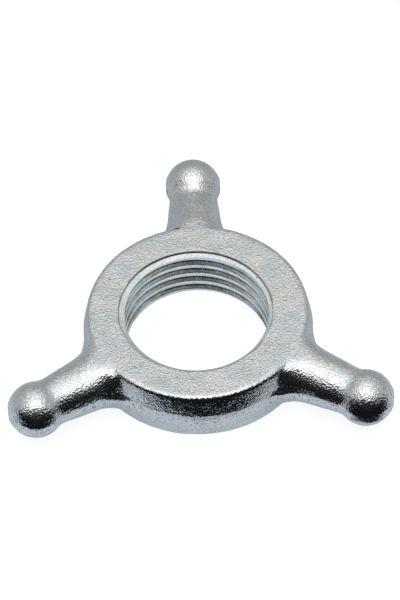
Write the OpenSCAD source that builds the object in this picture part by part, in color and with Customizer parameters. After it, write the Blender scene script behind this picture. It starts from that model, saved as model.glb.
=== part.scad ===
// Hand lock nut for a screw thread: a drop-forged ring with round arms that end in balls.
// Origin on the bore's axis, halfway between the two faces; +Z along the bore; one arm along +Y.

/* [Ring] */
// Diameter of the ring at its parting line, in mm
ring_d = 54; // [51:0.5:60]
// Thickness of the ring between its two flat faces, in mm
ring_h = 14; // [12:0.5:18]
// Draft of the ring's wall above the parting line, in degrees
draft_top = 11; // [5:1:14]
// Draft of the ring's wall below the parting line, in degrees
draft_bottom = 9; // [5:1:14]
// Radius on the outer edge of each flat face, in mm
edge_r = 1; // [0.3:0.1:1.2]

/* [Bore] */
// Diameter of the bore at the crests of its thread, in mm
bore_d = 33; // [28:0.25:35]
// Diameter of the recess at each mouth of the bore, in mm
mouth_d = 36; // [35.5:0.25:40]
// Depth of the straight rim of each recess, in mm
mouth_rim = 0.6; // [0.2:0.1:1.5]
// Depth of the cone that leads from the rim down to the thread, in mm
mouth_cone = 0.6; // [0.3:0.1:1.5]

/* [Arms] */
// Number of arms, equally spaced
arm_count = 3; // [2:1:4]
// Distance from the bore's axis to the centre of each ball, in mm
reach = 44; // [42:0.5:60]
// Diameter of each ball, in mm
ball_d = 13.2; // [12.5:0.1:16]
// Diameter of each arm at its neck, where it meets the ball, in mm
neck_d = 11.2; // [9:0.1:11.5]
// Slope of each side of an arm, growing towards the ring, in degrees
arm_taper = 5.7; // [2:0.1:8]
// Radius of the hollow that blends an arm's root into the ring, in mm
root_r = 10; // [6:0.5:12]
// Radius of the hollow between an arm and its ball, in mm
neck_r = 2.5; // [1:0.25:3]
// Radius across the crown of each arm's root, in mm
crown_r = 16; // [12:1:30]
// Step from the ring's faces down to the top of each arm's root, in mm
root_step = 0.1; // [0.1:0.05:1]

/* [Parting line] */
// Height of the band that is left where the flash was trimmed off, in mm
land_h = 2.6; // [1:0.1:4]
// How far that band stands out from the walls, in mm
land_proud = 0.05; // [0.05:0.05:0.6]

/* [Hidden] */
$fn = 96;
zinc = [0.79, 0.81, 0.83];

face_z = ring_h / 2;
land_z = land_h / 2;
wall_r = ring_d / 2 - land_proud;
ball_r = ball_d / 2;
overcut = 1;
// The root's hollow crosses the ring's drafted wall at this depth, so the two meet at a clear angle.
root_bite = 1.2;
// Every rounded edge and hollow crosses its straight side by this much, so it never only touches it.
graze = 0.005;
// The crown of an arm's root lies this far outside the straight side of the arm.
crown_gap = 0.05;
// Where an arm of the neck's diameter would enter the ball
neck_x = reach - sqrt(pow(ball_r, 2) - pow(neck_d / 2, 2));
// Where the straight side of an arm, drawn on, would cross the bore's axis
side_0 = neck_d / 2 + neck_x * tan(arm_taper);

// Centre of a circle that rolls on an arm's side and on a second circle about [x0, 0].
// gap is the roller's distance from the side, span its distance from [x0, 0];
// end picks the ring's side of that second circle (-1) or the ball's (1).
function roller(gap, span, x0, end) =
    let (
        t = tan(arm_taper),
        m = side_0 + gap / cos(arm_taper) - x0 * t,
        a = 1 + t * t,
        root = sqrt(m * m * t * t - a * (m * m - span * span)),
        x = (m * t + end * root) / a
    )
    [x0 + x, m - t * x];

// Foot of a roller on an arm's side
function foot(centre, gap) = centre - gap * [sin(arm_taper), cos(arm_taper)];

// One half of the ring: its wall drafts in from the parting band to the face, whose edge is rounded.
module ring_half(draft) {
    corner_r = wall_r - (face_z - land_z) * tan(draft);
    run = edge_r * tan(45 - draft / 2);
    edge_x = corner_r - run + graze;
    polygon([
        [0, 0], [wall_r, 0], [wall_r, land_z],
        [corner_r + run * sin(draft), face_z - run * cos(draft)],
        [edge_x, face_z], [0, face_z]
    ]);
    translate([edge_x, face_z - edge_r]) circle(r = edge_r);
}

module ring_blank() {
    rotate_extrude() {
        intersection() {
            union() {
                ring_half(draft_top);
                mirror([0, 1]) ring_half(draft_bottom);
            }
            translate([0, -ring_h]) square([ring_d, 2 * ring_h]);
        }
    }
}

// Outline of one side of an arm and its ball: x along the arm, y out from its axis.
// proud widens it; inner_r is the ring that the root runs into, and bite how deep it runs.
module half_arm(proud, inner_r, bite) {
    root_gap = root_r - proud;
    neck_gap = neck_r - proud;
    root_c = roller(root_r, inner_r + root_gap - bite, 0, 1);
    root_end = root_c * (1 - root_gap / norm(root_c));
    neck_c = roller(neck_r, ball_r + neck_r, reach, -1);
    difference() {
        polygon([
            [root_end[0], 0], root_end, root_c, foot(root_c, root_gap),
            foot(neck_c, neck_gap), neck_c, [reach, 0]
        ]);
        translate(root_c) circle(r = root_gap + graze);
        translate(neck_c) circle(r = neck_gap + graze);
    }
    intersection() {
        translate([reach, 0]) circle(r = ball_r + proud);
        translate([reach - ball_d, 0]) square(2 * ball_d);
    }
}

// Turns an outline, x along the arm and y out from its axis, about that axis.
module turn_arm() {
    rotate([0, 90, 0]) rotate_extrude() mirror([1, -1]) children();
}

// All that lies under the crown of an arm's root: a wide cone whose top line keeps the arm's slope.
// Past the root it opens out, so it leaves the neck and the ball alone.
module under_crown() {
    drop = crown_r - face_z;
    root_x = roller(root_r, wall_r + root_r - root_bite, 0, 1)[0];
    top_0 = side_0 + crown_gap + drop;
    translate([0, 0, -drop]) turn_arm() polygon([
        [0, 0], [0, top_0], [root_x, top_0 - root_x * tan(arm_taper)],
        [root_x, 2 * crown_r], [2 * reach, 2 * crown_r], [2 * reach, 0]
    ]);
}

module arm_blank() {
    intersection() {
        turn_arm() half_arm(0, wall_r, root_bite);
        cube([4 * reach, 4 * ring_d, ring_h - 2 * root_step], center = true);
        under_crown();
        mirror([0, 0, 1]) under_crown();
    }
}

// Vertical band along the parting line, all round the outline
module flash_land() {
    linear_extrude(height = land_h, center = true) {
        circle(d = ring_d);
        arms() {
            half_arm(land_proud, ring_d / 2, 0);
            mirror([0, 1]) half_arm(land_proud, ring_d / 2, 0);
        }
    }
}

module arms() {
    for (i = [0 : arm_count - 1]) rotate(90 + i * 360 / arm_count) children();
}

module bore() {
    rim_z = face_z - mouth_rim;
    cone_z = rim_z - mouth_cone;
    top = face_z + overcut;
    rotate_extrude() {
        polygon([
            [0, -top], [mouth_d / 2, -top], [mouth_d / 2, -rim_z], [bore_d / 2, -cone_z],
            [bore_d / 2, cone_z], [mouth_d / 2, rim_z], [mouth_d / 2, top], [0, top]
        ]);
    }
}

module lock_nut() {
    color(zinc) difference() {
        union() {
            ring_blank();
            arms() arm_blank();
            flash_land();
        }
        bore();
    }
}

lock_nut();
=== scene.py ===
import math

import bpy
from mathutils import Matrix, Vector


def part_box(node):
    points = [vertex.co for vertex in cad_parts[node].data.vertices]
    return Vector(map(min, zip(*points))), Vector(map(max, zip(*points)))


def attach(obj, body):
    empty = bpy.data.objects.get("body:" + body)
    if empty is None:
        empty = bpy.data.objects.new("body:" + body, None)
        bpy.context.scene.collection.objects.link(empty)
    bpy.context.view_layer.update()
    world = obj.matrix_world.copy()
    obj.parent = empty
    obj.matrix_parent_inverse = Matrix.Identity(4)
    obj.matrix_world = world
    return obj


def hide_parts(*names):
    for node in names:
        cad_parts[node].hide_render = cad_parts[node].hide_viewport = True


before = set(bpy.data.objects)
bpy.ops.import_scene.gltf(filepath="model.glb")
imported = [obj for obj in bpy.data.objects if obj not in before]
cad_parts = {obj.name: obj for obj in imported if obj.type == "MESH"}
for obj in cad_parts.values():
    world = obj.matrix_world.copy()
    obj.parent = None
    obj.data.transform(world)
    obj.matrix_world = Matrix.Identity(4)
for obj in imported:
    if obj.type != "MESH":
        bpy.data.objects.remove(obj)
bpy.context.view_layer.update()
MM = 0.001

# Camera: a long lens, high in front of the nut, that looks down at it by about 52 degrees.
# The nut stands a little off the middle of the frame, and the camera leans by about 2 degrees.
CAMERA_PLACE = (-1.33 * MM, -536.93 * MM, 678.33 * MM)
CAMERA_TURN = (38.796, 1.189, -1.687)
CAMERA_LENS = 221
bpy.ops.object.camera_add(location=CAMERA_PLACE, rotation=[math.radians(a) for a in CAMERA_TURN])
camera = bpy.context.object
camera.data.lens = CAMERA_LENS
camera.data.clip_start = 0.05
camera.data.clip_end = 10
bpy.context.scene.camera = camera
bpy.context.scene.view_settings.view_transform = "Standard"


# Forging: the whole nut is one piece of steel, hammered hot in a pair of dies and then blasted.
# The solid is taken as stock, its bore is filled to the web that a forging has there, and the
# skin is softened at every corner and given the dents and grain of hot worked steel.
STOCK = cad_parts["lock_nut"]
low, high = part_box("lock_nut")
FACE_Z = high.z
RIM_R = 18 * MM
WEB_R = 1.15 * RIM_R
SKIN_GRID = 0.34 * MM


def pick_up(piece):
    bpy.ops.object.select_all(action="DESELECT")
    piece.select_set(True)
    bpy.context.view_layer.objects.active = piece


def copy_of_stock(name):
    """A copy of the solid, with its loose triangles merged into one closed skin."""
    piece = bpy.data.objects.new(name, STOCK.data.copy())
    bpy.context.scene.collection.objects.link(piece)
    piece.data.materials.clear()
    pick_up(piece)
    bpy.ops.object.mode_set(mode="EDIT")
    bpy.ops.mesh.select_all(action="SELECT")
    bpy.ops.mesh.remove_doubles(threshold=0.001 * MM)
    bpy.ops.mesh.customdata_custom_splitnormals_clear()
    bpy.ops.object.mode_set(mode="OBJECT")
    return piece


def finish_with(piece, kind, **values):
    """Adds one modifier with those values and applies it."""
    modifier = piece.modifiers.new(kind.title(), kind)
    for name, value in values.items():
        setattr(modifier, name, value)
    pick_up(piece)
    bpy.ops.object.modifier_apply(modifier=modifier.name)


nut = copy_of_stock("forged_nut")
bpy.ops.mesh.primitive_cylinder_add(vertices=96, radius=WEB_R, depth=2 * FACE_Z)
web = bpy.context.object
pick_up(nut)
web.select_set(True)
bpy.ops.object.join()
finish_with(nut, "REMESH", mode="VOXEL", voxel_size=SKIN_GRID, use_smooth_shade=True)

# The arm at the back was hammered flatter on top, down to its neck, so its ball stands out more.
BALL_REACH, BALL_R = 44 * MM, 6.6 * MM
FLAT_START, FLAT_END, FLAT_SHARE = 27 * MM, 38 * MM, 0.17
for vertex in nut.data.vertices:
    across, along, height = vertex.co
    if height > 0 and FLAT_START < along < BALL_REACH and abs(across) < BALL_R:
        share = min(1, (along - FLAT_START) / (FLAT_END - FLAT_START))
        ball_height = math.sqrt(max(0, BALL_R**2 - (along - BALL_REACH) ** 2 - across**2))
        flattened = height * (1 - FLAT_SHARE * share * share)
        vertex.co.z = max(flattened, min(height, ball_height))

# The dies round every corner a little, the arms' roots much more, and their necks in between.
# Each blend is (start, end, half width, share), along an arm and across it.
ARM_ANGLES = [math.radians(90 + 120 * i) for i in range(3)]
BLENDS = [(25 * MM, 35 * MM, 13 * MM, 1), (36 * MM, 42 * MM, 9 * MM, 0.75)]
BLEND_EDGE = 2 * MM
SOFT_PASSES, BLEND_PASSES = 11, 40
blends = nut.vertex_groups.new(name="blends")
for vertex in nut.data.vertices:
    for angle in ARM_ANGLES:
        along = vertex.co.x * math.cos(angle) + vertex.co.y * math.sin(angle)
        across = abs(vertex.co.y * math.cos(angle) - vertex.co.x * math.sin(angle))
        for start, end, half, share in BLENDS:
            inside = min(along - start, end - along, half - across) / BLEND_EDGE
            if inside > 0:
                blends.add([vertex.index], share * min(1, inside), "REPLACE")
finish_with(nut, "SMOOTH", factor=0.5, iterations=SOFT_PASSES)
finish_with(nut, "SMOOTH", factor=0.5, iterations=BLEND_PASSES, vertex_group="blends")


def dent(piece, size, depth, detail):
    """Pushes the skin in and out by a clouded pattern of that size."""
    pattern = bpy.data.textures.new("dents", "CLOUDS")
    pattern.noise_scale = size
    pattern.noise_depth = detail
    finish_with(
        piece, "DISPLACE", texture=pattern, texture_coords="LOCAL", strength=depth, mid_level=0.5
    )


dent(nut, 6 * MM, 0.2 * MM, 1)
dent(nut, 1.3 * MM, 0.05 * MM, 2)

# Its finish is bright zinc over the blasted skin: cool grey, with faint warm and bluish clouds
# and a fine speckle, which is painted sparkle. The grain is small round dimples from the shot, with
# a finer roughness between them. Each cut has a finish of its own, and those of the counterbores and
# the bore get darker away from the cut's axis: painted shade, partly dark residue. MOUTH_X and
# BORE_X are how far aside these axes lie.
FORGED, SHEARED, MACHINED, THREADED, NICKED = range(5)
MOUTH_X = -0.5 * MM
BORE_X = -0.25 * MM


def graded(nodes, start, end, interpolation="LINEAR"):
    """A node that runs from one (value, result) to another."""
    grade = nodes.new("ShaderNodeMapRange")
    grade.interpolation_type = interpolation
    for side, (value, result) in (("Min", start), ("Max", end)):
        grade.inputs["From " + side].default_value = value
        grade.inputs["To " + side].default_value = result
    return grade


def zinc_grain_group():
    """Dimples is a count per metre. Relief mixes two heights, from the dimples to the finer one.

    Roughness is the least that the zinc has, and Tint colours it."""
    group = bpy.data.node_groups.new("zinc_grain", "ShaderNodeTree")
    for way, name, kind in (
        ("INPUT", "Dimples", "Float"),
        ("INPUT", "Relief", "Float"),
        ("INPUT", "Roughness", "Float"),
        ("INPUT", "Tint", "Color"),
        ("OUTPUT", "Height", "Float"),
        ("OUTPUT", "Color", "Color"),
        ("OUTPUT", "Roughness", "Float"),
    ):
        group.interface.new_socket(name, in_out=way, socket_type="NodeSocket" + kind)
    nodes, links = group.nodes, group.links
    given = nodes.new("NodeGroupInput")
    result = nodes.new("NodeGroupOutput")
    place = nodes.new("ShaderNodeTexCoord")
    dimples = nodes.new("ShaderNodeTexVoronoi")
    dimples.feature = "SMOOTH_F1"
    dimples.inputs["Smoothness"].default_value = 0.25
    fine = nodes.new("ShaderNodeTexNoise")
    fine.inputs["Scale"].default_value = 3000
    fine.inputs["Detail"].default_value = 2
    fine.inputs["Distortion"].default_value = 0.6
    relief = nodes.new("ShaderNodeMix")
    clouds = nodes.new("ShaderNodeTexNoise")
    clouds.inputs["Scale"].default_value = 160
    clouds.inputs["Detail"].default_value = 4
    hues = nodes.new("ShaderNodeValToRGB")
    bluish, warm = hues.color_ramp.elements
    bluish.position = 0.35
    bluish.color = (0.73, 0.8, 0.82, 1)
    warm.position = 0.65
    warm.color = (0.86, 0.86, 0.83, 1)
    # Painted sparkle: a fine speckle of lighter and darker points in the colour, standing in for the
    # glints of the blasted grain.
    speckle = nodes.new("ShaderNodeTexNoise")
    speckle.inputs["Scale"].default_value = 1700
    speckle.inputs["Detail"].default_value = 1
    painted_sparkle = graded(nodes, (0.3, 0.88), (0.7, 1.13))
    tinted, sparkled = [nodes.new("ShaderNodeMix") for _ in range(2)]
    for product in (tinted, sparkled):
        product.data_type = "RGBA"
        product.blend_type = "MULTIPLY"
        product.inputs["Factor"].default_value = 1
    rough = graded(nodes, (0.3, 0), (0.7, 0.1))
    rougher = nodes.new("ShaderNodeMath")
    for texture in (dimples, fine, clouds, speckle):
        links.new(place.outputs["Object"], texture.inputs["Vector"])
    links.new(given.outputs["Dimples"], dimples.inputs["Scale"])
    links.new(given.outputs["Relief"], relief.inputs["Factor"])
    links.new(dimples.outputs["Distance"], relief.inputs["A"])
    links.new(fine.outputs["Fac"], relief.inputs["B"])
    links.new(relief.outputs["Result"], result.inputs["Height"])
    links.new(clouds.outputs["Fac"], hues.inputs["Fac"])
    links.new(hues.outputs["Color"], tinted.inputs["A"])
    links.new(given.outputs["Tint"], tinted.inputs["B"])
    links.new(speckle.outputs["Fac"], painted_sparkle.inputs["Value"])
    links.new(tinted.outputs["Result"], sparkled.inputs["A"])
    links.new(painted_sparkle.outputs["Result"], sparkled.inputs["B"])
    links.new(sparkled.outputs["Result"], result.inputs["Color"])
    links.new(fine.outputs["Fac"], rough.inputs["Value"])
    links.new(rough.outputs["Result"], rougher.inputs[0])
    links.new(given.outputs["Roughness"], rougher.inputs[1])
    links.new(rougher.outputs["Value"], result.inputs["Roughness"])
    return group


zinc_grain = zinc_grain_group()


def zinc(name, dimples, relief, depth, roughness, tint):
    """Zinc plate with those values of its grain, which is that deep."""
    material = bpy.data.materials.new(name)
    material.use_nodes = True
    nodes, links = material.node_tree.nodes, material.node_tree.links
    surface = nodes["Principled BSDF"]
    surface.inputs["Metallic"].default_value = 1
    grain = nodes.new("ShaderNodeGroup")
    grain.name = "grain"
    grain.node_tree = zinc_grain
    grain.inputs["Dimples"].default_value = dimples
    grain.inputs["Relief"].default_value = relief
    grain.inputs["Roughness"].default_value = roughness
    grain.inputs["Tint"].default_value = (*tint, 1)
    bump = nodes.new("ShaderNodeBump")
    bump.inputs["Distance"].default_value = depth
    links.new(grain.outputs["Height"], bump.inputs["Height"])
    links.new(bump.outputs["Normal"], surface.inputs["Normal"])
    links.new(grain.outputs["Color"], surface.inputs["Base Color"])
    links.new(grain.outputs["Roughness"], surface.inputs["Roughness"])
    return material


def tint_over(material, amount, dirt_and_shade):
    """Lays one more colour over those that the material has, by the result of amount."""
    nodes, links = material.node_tree.nodes, material.node_tree.links
    color = nodes["Principled BSDF"].inputs["Base Color"]
    mix = nodes.new("ShaderNodeMix")
    mix.data_type = "RGBA"
    mix.inputs["B"].default_value = (*dirt_and_shade, 1)
    links.new(color.links[0].from_socket, mix.inputs["A"])
    links.new(amount.outputs["Result"], mix.inputs["Factor"])
    links.new(mix.outputs["Result"], color)


def darken_outwards(material, centre_x, undarkened_r, darkest_r, dirt_and_shade):
    """Darkens in patches from one radius about a cut's axis to another: painted shade, partly dark
    residue.
    """
    patchy = 0.8 * (darkest_r - undarkened_r)
    nodes, links = material.node_tree.nodes, material.node_tree.links
    place = nodes.new("ShaderNodeTexCoord")
    shift = nodes.new("ShaderNodeVectorMath")
    shift.operation = "MULTIPLY_ADD"
    shift.inputs[1].default_value = (1, 1, 0)
    shift.inputs[2].default_value = (-centre_x, 0, 0)
    radius = nodes.new("ShaderNodeVectorMath")
    radius.operation = "LENGTH"
    patches = nodes.new("ShaderNodeTexNoise")
    patches.inputs["Scale"].default_value = 700
    patches.inputs["Detail"].default_value = 4
    uneven = nodes.new("ShaderNodeMath")
    uneven.operation = "MULTIPLY_ADD"
    uneven.inputs[1].default_value = patchy
    amount = graded(nodes, (undarkened_r + patchy / 2, 0), (darkest_r + patchy / 2, 1), "SMOOTHSTEP")
    links.new(place.outputs["Object"], shift.inputs[0])
    links.new(shift.outputs["Vector"], radius.inputs[0])
    links.new(place.outputs["Object"], patches.inputs["Vector"])
    links.new(patches.outputs["Fac"], uneven.inputs[0])
    links.new(radius.outputs["Value"], uneven.inputs[2])
    links.new(uneven.outputs["Value"], amount.inputs["Value"])
    tint_over(material, amount, dirt_and_shade)


def speck(material, count, least, most, dirt_and_shade):
    """Adds dirt where a noise, of that many waves per metre, rises from least to most."""
    nodes, links = material.node_tree.nodes, material.node_tree.links
    place = nodes.new("ShaderNodeTexCoord")
    specks = nodes.new("ShaderNodeTexNoise")
    specks.inputs["Scale"].default_value = count
    amount = graded(nodes, (least, 0), (most, 1))
    links.new(place.outputs["Object"], specks.inputs["Vector"])
    links.new(specks.outputs["Fac"], amount.inputs["Value"])
    tint_over(material, amount, dirt_and_shade)


finishes = [
    zinc("blasted_zinc", 2100, 0.35, 0.13 * MM, 0.09, (1.02, 1.02, 1.02)),
    zinc("sheared_zinc", 900, 0.8, 0.08 * MM, 0.16, (1.05, 1.06, 1.09)),
    zinc("machined_zinc", 500, 0.9, 0.04 * MM, 0.12, (1.04, 1.06, 1.08)),
    # The thread's zinc is painted lighter than the rest, painted light in the bore, and it has a
    # cool tint of its own.
    zinc("threaded_zinc", 900, 0.6, 0.03 * MM, 0.2, (1.18, 1.26, 1.25)),
    # The nicks' dark colour is painted shade in the pits.
    zinc("nick_painted_shade", 900, 0.6, 0.05 * MM, 0.3, (0.22, 0.2, 0.2)),
]
speck(finishes[FORGED], 1500, 0.67, 0.73, (0.3, 0.28, 0.26))
speck(finishes[SHEARED], 1500, 0.6, 0.66, (0.38, 0.35, 0.36))
# Painted shade at the counterbore's narrow wall and its corner, partly a brownish residue.
darken_outwards(finishes[MACHINED], MOUTH_X, 17.85 * MM, 17.98 * MM, (0.5, 0.47, 0.44))
speck(finishes[THREADED], 300, 0.5, 0.75, (0.6, 0.56, 0.5))
# Painted shade deep in the thread's roots, partly dark residue.
darken_outwards(finishes[THREADED], BORE_X, 17.2 * MM, 17.75 * MM, (0.08, 0.1, 0.115))
for finish in finishes:
    nut.data.materials.append(finish)

# Trimming: a punch a hair smaller than the forging's outline shears the flash off, which leaves
# a flat upright band, with a ragged edge, all round the parting line. The punch's wall has a few
# steps there, a little past the band, so that it can waver with height too.
LAND_Z = 1.3 * MM
OUTSIDE_R = 1.1 * RIM_R
UPRIGHT_NORMAL = 0.02
TOOL_END_Z = 9 * MM
BAND_STEPS = 7
BAND_SPREAD = 1.3
SHEARED_OFF = 0.08 * MM


def choose(piece, part, wanted):
    """Selects only the vertices or faces for which wanted(place, normal) is true."""
    pick_up(piece)
    mode = {"vertices": "VERT", "polygons": "FACE"}[part]
    bpy.ops.object.mode_set(mode="EDIT")
    bpy.ops.mesh.select_mode(type=mode)
    bpy.ops.mesh.select_all(action="DESELECT")
    bpy.ops.object.mode_set(mode="OBJECT")
    for item in getattr(piece.data, part):
        place = item.center if part == "polygons" else item.co
        item.select = wanted(place, item.normal)
    bpy.ops.object.mode_set(mode="EDIT")


def outline_wall(name, heights, proud):
    """A closed wall that follows the nut's outline, capped at both ends."""
    piece = copy_of_stock(name)
    choose(piece, "polygons", lambda p, n: abs(n.z) < UPRIGHT_NORMAL and p.xy.length > OUTSIDE_R)
    bpy.ops.mesh.select_all(action="INVERT")
    bpy.ops.mesh.delete(type="FACE")
    bpy.ops.mesh.select_all(action="SELECT")
    bpy.ops.mesh.normals_make_consistent(inside=False)
    bpy.ops.transform.shrink_fatten(value=proud)
    bpy.ops.object.mode_set(mode="OBJECT")
    choose(piece, "vertices", lambda p, n: p.z < 0)
    bpy.ops.mesh.delete(type="VERT")
    bpy.ops.mesh.select_all(action="SELECT")
    bpy.ops.mesh.subdivide(number_cuts=2)
    bpy.ops.transform.translate(value=(0, 0, heights[0] - LAND_Z))
    bpy.ops.mesh.edge_face_add()
    for lower, upper in zip(heights, heights[1:]):
        bpy.ops.mesh.extrude_region_move(TRANSFORM_OT_translate={"value": (0, 0, upper - lower)})
    bpy.ops.mesh.select_all(action="SELECT")
    bpy.ops.mesh.normals_make_consistent(inside=False)
    bpy.ops.object.mode_set(mode="OBJECT")
    return piece


def machine(piece, tool, finish, operation="DIFFERENCE"):
    """Cuts the piece with a tool; the cut takes that one of its finishes."""
    for material in piece.data.materials:
        tool.data.materials.append(material)
    for face in tool.data.polygons:
        face.material_index = finish
    finish_with(piece, "BOOLEAN", object=tool, operation=operation, solver="MANIFOLD")
    bpy.data.objects.remove(tool)


band_heights = [LAND_Z * (2 * i / BAND_STEPS - 1) * BAND_SPREAD for i in range(BAND_STEPS + 1)]
punch = outline_wall("punch", [-TOOL_END_Z] + band_heights + [TOOL_END_Z], -SHEARED_OFF)
dent(punch, 1.6 * MM, 0.12 * MM, 2)
machine(nut, punch, SHEARED, "INTERSECT")

# Bore: drilled through, then each mouth is counterbored down to a shallow cone and loses its
# sharp edge. The forging was chucked off its centre, and the counterbores lie furthest aside.
# Each point of the lip is (drop below the face, growth of the radius), in mm.
CREST_R = 16.9 * MM
BORE_SIDES = 240
CONE_SLOPE = 0.22
CONE_OVERCUT = 1.5 * MM
TOP_RIM, BOTTOM_RIM = 0.8 * MM, 0.35 * MM
LIP = [(0.15, 0), (0.04, 0.04), (0, 0.14), (-1, 3)]


def turned_tool(name, centre_x, stations):
    """A turned cutter: stations are (height, radius), from one end to the other."""
    height, radius = stations[0]
    bpy.ops.mesh.primitive_circle_add(
        vertices=BORE_SIDES, radius=radius, fill_type="NGON", location=(centre_x, 0, height)
    )
    tool = bpy.context.object
    tool.name = name
    bpy.ops.object.mode_set(mode="EDIT")
    for (lower, before), (upper, after) in zip(stations, stations[1:]):
        bpy.ops.mesh.extrude_region_move(TRANSFORM_OT_translate={"value": (0, 0, upper - lower)})
        scale = after / before
        bpy.ops.transform.resize(value=(scale, scale, 1), center_override=(centre_x, 0, upper))
    bpy.ops.mesh.select_all(action="SELECT")
    bpy.ops.mesh.normals_make_consistent(inside=False)
    bpy.ops.object.mode_set(mode="OBJECT")
    return tool


def mouth_tool(name, rim_depth, side):
    """Cuts the counterbore of the top face where side is 1, and of the bottom one where it is -1."""
    rim_z = FACE_Z - rim_depth
    tip_r = CREST_R - CONE_OVERCUT
    stations = [(rim_z - CONE_SLOPE * (RIM_R - tip_r), tip_r), (rim_z, RIM_R)]
    stations += [(FACE_Z - drop * MM, RIM_R + growth * MM) for drop, growth in LIP]
    return turned_tool(name, MOUTH_X, [(side * z, r) for z, r in stations])


drill = turned_tool("drill", BORE_X, [(-TOOL_END_Z, CREST_R), (TOOL_END_Z, CREST_R)])
machine(nut, drill, THREADED)
machine(nut, mouth_tool("top_counterbore", TOP_RIM, 1), MACHINED)
machine(nut, mouth_tool("bottom_counterbore", BOTTOM_RIM, -1), MACHINED)

# Thread: M36 x 3, right-hand, cut by a tap whose tooth sweeps a helix. The tooth is a worn V with
# a blunt point, a little wider than the standard 60 degrees; its foot is flared, so it leaves the
# crests rounded. It runs out at the top. Each point of it is (radius, half width), in mm.
PITCH = 3 * MM
TURNS = 5
TURN_STEPS = 180
RUN_OUT_STEPS = 40
RUN_OUT_LIFT = 2 * MM
TOOTH = [(16.0, 1.45), (16.8, 1.15), (17.0, 0.84), (17.65, 0.36), (17.85, 0.16)]
GROOVE_AT_BACK = 4.05 * MM
tooth_line = TOOTH + [(r, -half) for r, half in reversed(TOOTH)]
bpy.ops.mesh.primitive_circle_add(vertices=len(tooth_line), radius=1 * MM, fill_type="NOTHING")
tap = bpy.context.object
tap.name = "tap"
top_turn = GROOVE_AT_BACK + PITCH / 2
for vertex, (radius, half) in zip(tap.data.vertices, tooth_line):
    vertex.co = (0, -radius * MM, top_turn - TURNS * PITCH + half * MM)
finish_with(
    tap, "SCREW", axis="Z", angle=2 * math.pi, screw_offset=PITCH, iterations=TURNS,
    steps=TURN_STEPS, render_steps=TURN_STEPS, use_smooth_shade=True
)
tap.location.x = BORE_X
last_step = len(tap.data.vertices) // len(tooth_line) - 1
for vertex in tap.data.vertices:
    lifted = vertex.index // len(tooth_line) - (last_step - RUN_OUT_STEPS)
    if lifted > 0:
        reach = vertex.co.xy.length
        vertex.co.xy *= (reach - RUN_OUT_LIFT * lifted / RUN_OUT_STEPS) / reach
choose(tap, "vertices", lambda p, n: False)
bpy.ops.mesh.select_non_manifold()
bpy.ops.mesh.fill_holes(sides=0)
bpy.ops.mesh.select_all(action="SELECT")
bpy.ops.mesh.normals_make_consistent(inside=False)
bpy.ops.object.mode_set(mode="OBJECT")
machine(nut, tap, THREADED)

# Nicks from use, each a small blunt pit in the skin, whose dark finish is painted shade: (place,
# radii), in mm. Last of all, the skin is shaded smooth, but for the edges at which it turns by more
# than the crease angle.
NICKS = [
    ((-4.3, 25.2, 6.9), (0.75, 0.35, 0.4)),
    ((-17.7, -20.5, 1.7), (0.5, 0.4, 0.35)),
    ((-16.6, -21.2, 1.75), (0.3, 0.35, 0.3)),
    ((14.2, 9.8, 6.25), (0.22, 0.25, 0.2)),
]
CREASE_ANGLE = math.radians(35)
for place, radii in NICKS:
    bpy.ops.mesh.primitive_ico_sphere_add(subdivisions=2, radius=1 * MM)
    pit = bpy.context.object
    pit.name = "nick"
    for vertex in pit.data.vertices:
        vertex.co = [middle * MM + part * r for middle, part, r in zip(place, vertex.co, radii)]
    machine(nut, pit, NICKED)

pick_up(nut)
bpy.ops.object.shade_smooth_by_angle(angle=CREASE_ANGLE)

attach(nut, "root")
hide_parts("lock_nut")

# Studio paper: white to the camera, and darker where the plate mirrors it. Mirrored, it glows
# with painted light, tinted bluish, which fades towards the back and is brightest below the bore, a
# painted pool of light. Each of these two runs from one (distance, strength) to another: the fade
# along Y, and the other out from the bore's axis.
PAPER_COLOR = (0.3, 0.315, 0.33, 1)
PAPER_SEEN = 0.87
PAPER_SEEN_TINT = (1, 1, 1, 1)
PAPER_MIRRORED_TINT = (0.92, 0.99, 1.1, 1)
PAPER_FADE = [(-30 * MM, 0.39), (20 * MM, 0.22)]
PAPER_AT_BORE = [(15 * MM, 0.42), (21 * MM, 0)]
bpy.ops.mesh.primitive_plane_add(size=3, location=(0, 0, low.z))
floor = bpy.context.object
floor.name = "floor"
paper = bpy.data.materials.new("white_paper")
paper.use_nodes = True
nodes, links = paper.node_tree.nodes, paper.node_tree.links
nodes.remove(nodes["Principled BSDF"])
diffuse = nodes.new("ShaderNodeBsdfDiffuse")
diffuse.inputs["Color"].default_value = PAPER_COLOR
glow = nodes.new("ShaderNodeEmission")
both = nodes.new("ShaderNodeAddShader")
ways = nodes.new("ShaderNodeLightPath")
glow_tint = nodes.new("ShaderNodeMix")
glow_tint.data_type = "RGBA"
glow_tint.inputs["A"].default_value = PAPER_MIRRORED_TINT
glow_tint.inputs["B"].default_value = PAPER_SEEN_TINT
camera_share = nodes.new("ShaderNodeMath")
camera_share.operation = "MULTIPLY"
camera_share.inputs[1].default_value = PAPER_SEEN
mirror_share = nodes.new("ShaderNodeMath")
mirror_share.operation = "MULTIPLY_ADD"
spot = nodes.new("ShaderNodeTexCoord")
spot_y = nodes.new("ShaderNodeSeparateXYZ")
spot_r = nodes.new("ShaderNodeVectorMath")
spot_r.operation = "LENGTH"
fade = graded(nodes, *PAPER_FADE)
at_bore = graded(nodes, *PAPER_AT_BORE)
brighter = nodes.new("ShaderNodeMath")
brighter.operation = "MAXIMUM"
links.new(spot.outputs["Object"], spot_y.inputs[0])
links.new(spot_y.outputs["Y"], fade.inputs["Value"])
links.new(spot.outputs["Object"], spot_r.inputs[0])
links.new(spot_r.outputs["Value"], at_bore.inputs["Value"])
links.new(fade.outputs["Result"], brighter.inputs[0])
links.new(at_bore.outputs["Result"], brighter.inputs[1])
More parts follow.
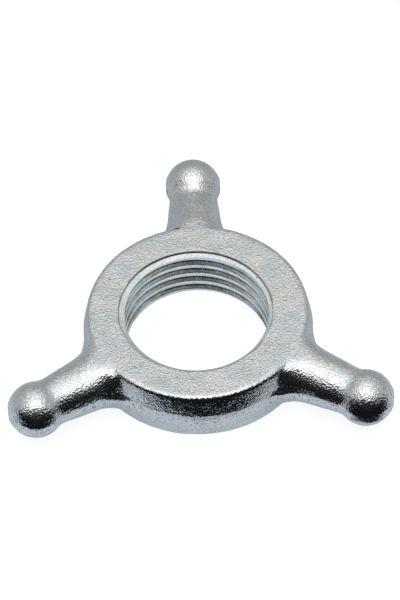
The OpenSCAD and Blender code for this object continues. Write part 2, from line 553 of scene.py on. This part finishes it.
links.new(ways.outputs["Is Camera Ray"], camera_share.inputs[0])
links.new(ways.outputs["Is Glossy Ray"], mirror_share.inputs[0])
links.new(brighter.outputs[0], mirror_share.inputs[1])
links.new(camera_share.outputs[0], mirror_share.inputs[2])
links.new(mirror_share.outputs[0], glow.inputs["Strength"])
links.new(ways.outputs["Is Camera Ray"], glow_tint.inputs["Factor"])
links.new(glow_tint.outputs["Result"], glow.inputs["Color"])
links.new(diffuse.outputs[0], both.inputs[0])
links.new(glow.outputs[0], both.inputs[1])
links.new(both.outputs[0], nodes["Material Output"].inputs["Surface"])
floor.data.materials.append(paper)

# Studio tent, in place of lamps. Its light changes from the front horizon (0 degrees) over the
# top (90) to the back horizon (180): dark in front, brightest just before the top, grey behind.
# The further a ray goes aside, towards the tent's two ends, the less it may exceed their grey.
TENT_BRIGHTEST = 1.85
TENT_SHADES = [
    (0, 0.006), (34, 0.012), (48, 0.06), (57, 0.5), (66, 1), (78, 1), (90, 0.65), (104, 0.48),
    (118, 0.445), (129, 0.4), (141, 0.22), (180, 0.18)
]
TENT_ENDS = (0.25, 0.25, 0.25, 1)
TENT_ENDS_FROM, TENT_ENDS_AT = 0.22, 0.7
world = bpy.data.worlds.new("tent")
world.use_nodes = True
nodes, links = world.node_tree.nodes, world.node_tree.links
ray = nodes.new("ShaderNodeTexCoord")
apart = nodes.new("ShaderNodeSeparateXYZ")
forward = nodes.new("ShaderNodeMath")
forward.operation = "MULTIPLY"
forward.inputs[1].default_value = -1
height = nodes.new("ShaderNodeMath")
height.operation = "ARCTAN2"
share = nodes.new("ShaderNodeMath")
share.operation = "DIVIDE"
share.inputs[1].default_value = math.pi
shades = nodes.new("ShaderNodeValToRGB")
stops = shades.color_ramp.elements
stops.remove(stops[1])
for number, (degrees, shade) in enumerate(TENT_SHADES):
    stop = stops.new(degrees / 180) if number else stops[0]
    stop.position = degrees / 180
    stop.color = (shade, shade, shade, 1)
aside = nodes.new("ShaderNodeMath")
aside.operation = "ABSOLUTE"
beyond = graded(nodes, (TENT_ENDS_FROM, 0), (TENT_ENDS_AT, 1), "SMOOTHSTEP")
ends = nodes.new("ShaderNodeMix")
ends.data_type = "RGBA"
ends.blend_type = "DARKEN"
ends.inputs["B"].default_value = TENT_ENDS
links.new(ray.outputs["Generated"], apart.inputs[0])
links.new(apart.outputs["Y"], forward.inputs[0])
links.new(apart.outputs["Z"], height.inputs[0])
links.new(forward.outputs[0], height.inputs[1])
links.new(height.outputs[0], share.inputs[0])
links.new(share.outputs[0], shades.inputs["Fac"])
links.new(apart.outputs["X"], aside.inputs[0])
links.new(aside.outputs[0], beyond.inputs["Value"])
links.new(beyond.outputs["Result"], ends.inputs["Factor"])
links.new(shades.outputs["Color"], ends.inputs["A"])
links.new(ends.outputs["Result"], nodes["Background"].inputs["Color"])
nodes["Background"].inputs["Strength"].default_value = TENT_BRIGHTEST
bpy.context.scene.world = world

# A black card lies on the paper in front, painted shade that only the reflections show. The camera
# doesn't see it and it casts no shadow, but it darkens what the walls mirror. Its near edge, in mm,
# runs askew from left to right.
CARD_NEAR = [(-1400, -153.7), (1400, 86.3)]
CARD_FAR_Y = -1450
CARD_LIFT = 0.2 * MM
bpy.ops.mesh.primitive_plane_add(size=1)
card = bpy.context.object
card.name = "card_of_painted_shade"
corners = CARD_NEAR + [(x, CARD_FAR_Y) for x, y in CARD_NEAR]
for vertex, (x, y) in zip(card.data.vertices, corners):
    vertex.co = (x * MM, y * MM, low.z + CARD_LIFT)
black = bpy.data.materials.new("card_of_painted_shade")
black.use_nodes = True
matt = black.node_tree.nodes["Principled BSDF"]
matt.inputs["Base Color"].default_value = (0.01, 0.012, 0.015, 1)
matt.inputs["Specular IOR Level"].default_value = 0
card.data.materials.append(black)
card.visible_camera = False
card.visible_diffuse = False
card.visible_shadow = False
